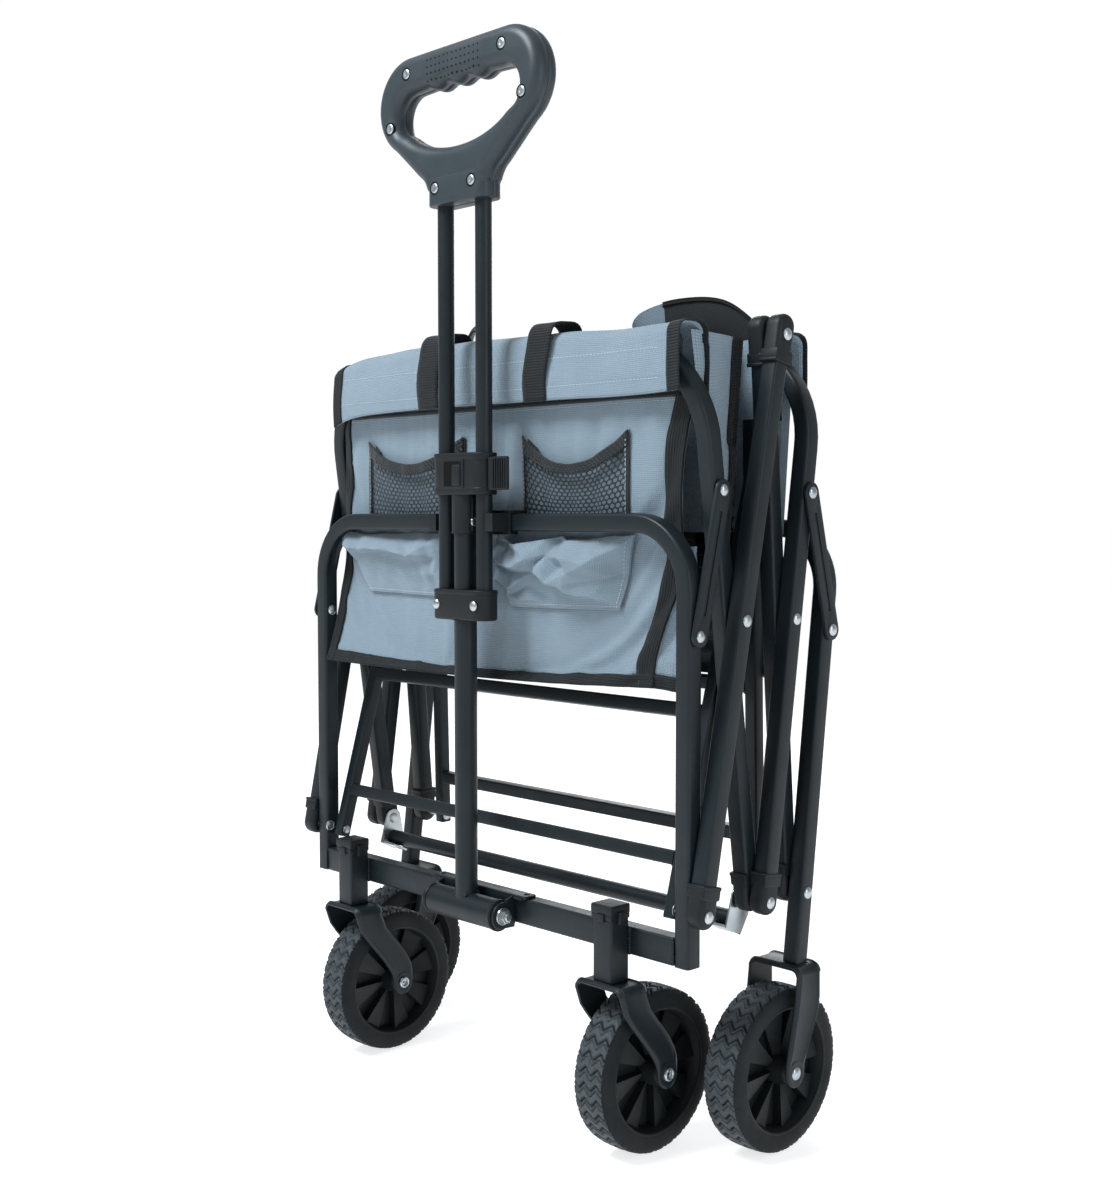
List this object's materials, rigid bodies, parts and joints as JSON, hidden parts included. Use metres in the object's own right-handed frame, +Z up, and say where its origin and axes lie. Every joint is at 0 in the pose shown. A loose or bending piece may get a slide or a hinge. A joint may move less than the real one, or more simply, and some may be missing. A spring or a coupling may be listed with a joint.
{
  "type": "folding wagon with telescopic pull handle",
  "caption": "Folding cloth-sided wagon shown folded upright: scissor side frame, swivel front casters, rear wheels, telescopic pull handle with loop grip.",
  "frame": {"origin": "centre of the bounding box in X and Y, on the ground plane (bottom of the wheels)", "axes": "+X to the wagon's left-to-right across the folded frame, +Y from the handle side to the rear frame, +Z up"},
  "size_m": [0.604, 0.2358, 1.024],
  "materials": {
    "frame_metal": "dark slate powder coat, satin",
    "zinc": "bright zinc plate",
    "black_plastic": "moulded, fine grain",
    "grip_plastic": "moulded, satin, dimpled on top",
    "tyre": "matte moulded tread",
    "cloth": "plain-woven polyester, grey-blue",
    "dark_cloth": "plain-woven polyester, near black"
  },
  "bodies": {
    "front_frame": {"front_frame": "frame_metal", "caster_posts": "frame_metal", "post_caps": "black_plastic", "pull_bracket": "frame_metal", "pull_bolt": "zinc", "handle_clip": "black_plastic", "front_leg_pins": "zinc"},
    "lift_bars": {"lift_bars": "frame_metal", "lift_bar_caps": "black_plastic", "top_rivets": "zinc"},
    "rear_lift_bars": {"rear_lift_bars": "frame_metal", "rear_lift_caps": "black_plastic", "rear_bar_rivets": "zinc"},
    "rear_frame": {"rear_frame": "frame_metal", "rear_forks": "frame_metal", "rear_axles": "zinc", "rear_leg_pins": "zinc"},
    "front_links": {"front_links": "frame_metal", "front_link_pins": "zinc"},
    "rear_links": {"rear_links": "frame_metal"},
    "front_hoop": {"front_hoop": "frame_metal", "front_hoop_ends": "black_plastic", "front_hoop_rivets": "zinc"},
    "rear_hoop": {"rear_hoop": "frame_metal", "rear_hoop_ends": "black_plastic", "rear_hoop_rivets": "zinc"},
    "centre_brace": {"centre_brackets": "zinc", "centre_tube": "frame_metal"},
    "floor_front": {"floor_frame_front": "frame_metal"},
    "floor_rear": {"floor_frame_rear": "frame_metal"},
    "front_cloth": {"front_panel": "cloth"},
    "rear_cloth": {"rear_panel": "cloth"},
    "side_cloth": {"side_panels": "cloth"},
    "floor_cloth_front": {"floor_cloth_front": "dark_cloth"},
    "floor_cloth_rear": {"floor_cloth_rear": "dark_cloth"},
    "handle": {"pull_tube": "frame_metal", "barrel_bushes": "black_plastic", "rod_clamp": "black_plastic", "clamp_screw": "zinc"},
    "handle_rods": {"slide_rods": "frame_metal", "rod_carrier": "black_plastic", "carrier_rivets": "zinc", "grip_front": "grip_plastic", "grip_rear": "grip_plastic", "grip_screws": "zinc"},
    "clamp_button": {"clamp_button": "black_plastic"},
    "caster_left": {"front_fork_left": "frame_metal", "front_axle_left": "zinc"},
    "front_wheel_left": {"front_tyre_left": "tyre", "front_hub_left": "black_plastic"},
    "rear_wheel_left": {"rear_tyre_left": "tyre", "rear_hub_left": "black_plastic"},
    "caster_right": {"front_fork_right": "frame_metal", "front_axle_right": "zinc"},
    "front_wheel_right": {"front_tyre_right": "tyre", "front_hub_right": "black_plastic"},
    "rear_wheel_right": {"rear_tyre_right": "tyre", "rear_hub_right": "black_plastic"}
  },
  "joints": [
    {"name": "fold", "type": "hinge", "parent": "front_frame", "child": "lift_bars", "pos_m": [0, -0.0715, 0.2362], "axis": [-1, 0, 0], "range_deg": [0, 48.5], "deforming": ["front_panel", "rear_panel"]},
    {"name": "rear_lift_pivot", "type": "hinge", "parent": "lift_bars", "child": "rear_lift_bars", "pos_m": [0, 0.03018, 0.73596], "axis": [-1, 0, 0], "range_deg": [-104.03, 0]},
    {"name": "rear_frame_pivot", "type": "hinge", "parent": "rear_lift_bars", "child": "rear_frame", "pos_m": [0, 0.06884, 0.23345], "axis": [-1, 0, 0], "range_deg": [0, 48.73]},
    {"name": "front_link_pivot", "type": "hinge", "parent": "front_frame", "child": "front_links", "pos_m": [0, -0.0661, 0.4741], "axis": [-1, 0, 0], "range_deg": [0, 101.59]},
    {"name": "front_hoop_pivot", "type": "hinge", "parent": "front_links", "child": "front_hoop", "pos_m": [0, -0.03633, 0.599], "axis": [-1, 0, 0], "range_deg": [-153.69, 0]},
    {"name": "rear_link_pivot", "type": "hinge", "parent": "rear_frame", "child": "rear_links", "pos_m": [0, 0.09738, 0.47275], "axis": [-1, 0, 0], "range_deg": [-95.19, 0]},
    {"name": "rear_hoop_pivot", "type": "hinge", "parent": "rear_links", "child": "rear_hoop", "pos_m": [0, 0.0653, 0.59761], "axis": [-1, 0, 0], "range_deg": [0, 154.03]},
    {"name": "centre_brace_pivot", "type": "hinge", "parent": "front_hoop", "child": "centre_brace", "pos_m": [0, 0.01439, 0.2335], "axis": [-1, 0, 0], "range_deg": [0, 52.5]},
    {"name": "floor_front_hinge", "type": "hinge", "parent": "front_frame", "child": "floor_front", "pos_m": [0, -0.0623, 0.233], "axis": [-1, 0, 0], "range_deg": [0, 74.8]},
    {"name": "floor_rear_hinge", "type": "hinge", "parent": "rear_frame", "child": "floor_rear", "pos_m": [0, 0.06884, 0.23345], "axis": [-1, 0, 0], "range_deg": [-82.22, 0]},
    {"name": "front_cloth_hang", "type": "hinge", "parent": "front_hoop", "child": "front_cloth", "pos_m": [0, -0.05461, 0.73074], "axis": [-1, 0, 0], "range_deg": [0, 52.5]},
    {"name": "rear_cloth_hang", "type": "hinge", "parent": "rear_hoop", "child": "rear_cloth", "pos_m": [0, 0.08371, 0.72933], "axis": [-1, 0, 0], "range_deg": [-52.44, 0]},
    {"name": "side_cloth_slide", "type": "slide", "parent": "front_cloth", "child": "side_cloth", "axis": [0, 1, 0], "range_m": [0, 0.733], "deforming": ["side_panels"]},
    {"name": "floor_cloth_front_slide", "type": "slide", "parent": "floor_front", "child": "floor_cloth_front", "axis": [0, -0.2689, -0.9632], "range_m": [0, 0.19], "deforming": ["floor_cloth_front"]},
    {"name": "floor_cloth_rear_slide", "type": "slide", "parent": "floor_rear", "child": "floor_cloth_rear", "axis": [0, 0.0241, -0.9997], "range_m": [0, 0.19], "deforming": ["floor_cloth_rear"]},
    {"name": "caster_swivel_left", "type": "hinge", "parent": "front_frame", "child": "caster_left", "pos_m": [-0.191, -0.0875, 0.19], "axis": [0, 0, 1], "range_deg": [-280, 18]},
    {"name": "front_wheel_spin_left", "type": "hinge", "parent": "caster_left", "child": "front_wheel_left", "pos_m": [-0.191, -0.0429, 0.075], "axis": [1, 0, 0], "continuous": true},
    {"name": "rear_wheel_spin_left", "type": "hinge", "parent": "rear_frame", "child": "rear_wheel_left", "pos_m": [-0.27, 0.0412, 0.075], "axis": [1, 0, 0], "continuous": true},
    {"name": "caster_swivel_right", "type": "hinge", "parent": "front_frame", "child": "caster_right", "pos_m": [0.191, -0.0875, 0.19], "axis": [0, 0, 1], "range_deg": [-18, 280]},
    {"name": "front_wheel_spin_right", "type": "hinge", "parent": "caster_right", "child": "front_wheel_right", "pos_m": [0.191, -0.0429, 0.075], "axis": [1, 0, 0], "continuous": true},
    {"name": "rear_wheel_spin_right", "type": "hinge", "parent": "rear_frame", "child": "rear_wheel_right", "pos_m": [0.27, 0.0412, 0.075], "axis": [1, 0, 0], "continuous": true},
    {"name": "handle_hinge", "type": "hinge", "parent": "front_frame", "child": "handle", "pos_m": [0, -0.0923, 0.1964], "axis": [1, 0, 0], "range_deg": [0, 95]},
    {"name": "handle_slide", "type": "slide", "parent": "handle", "child": "handle_rods", "axis": [0, 0, 1], "range_m": [-0.235, 0.05]},
    {"name": "clamp_button_slide", "type": "slide", "parent": "handle", "child": "clamp_button", "axis": [-1, 0, 0], "range_m": [0, 0.0022], "stiffness_N_per_m": 600}
  ],
  "couplings": [
    {"joint": "rear_lift_pivot", "follows": "fold", "ratio": -2.1366},
    {"joint": "rear_frame_pivot", "follows": "fold", "ratio": 0.99643},
    {"joint": "front_link_pivot", "follows": "fold", "ratio": 2.0864},
    {"joint": "front_hoop_pivot", "follows": "fold", "ratio": -3.1606},
    {"joint": "rear_link_pivot", "follows": "fold", "ratio": -1.9545},
    {"joint": "rear_hoop_pivot", "follows": "fold", "ratio": 3.1677},
    {"joint": "centre_brace_pivot", "follows": "fold", "ratio": 1.0742},
    {"joint": "floor_front_hinge", "follows": "fold", "ratio": 1.534},
    {"joint": "floor_rear_hinge", "follows": "fold", "ratio": -1.687},
    {"joint": "front_cloth_hang", "follows": "fold", "ratio": 1.0742},
    {"joint": "rear_cloth_hang", "follows": "fold", "ratio": -1.073},
    {"joint": "side_cloth_slide", "follows": "fold", "m_per_rad": 0.86238},
    {"joint": "floor_cloth_front_slide", "follows": "fold", "m_per_rad": 0.22091},
    {"joint": "floor_cloth_rear_slide", "follows": "fold", "m_per_rad": 0.22091}
  ]
}
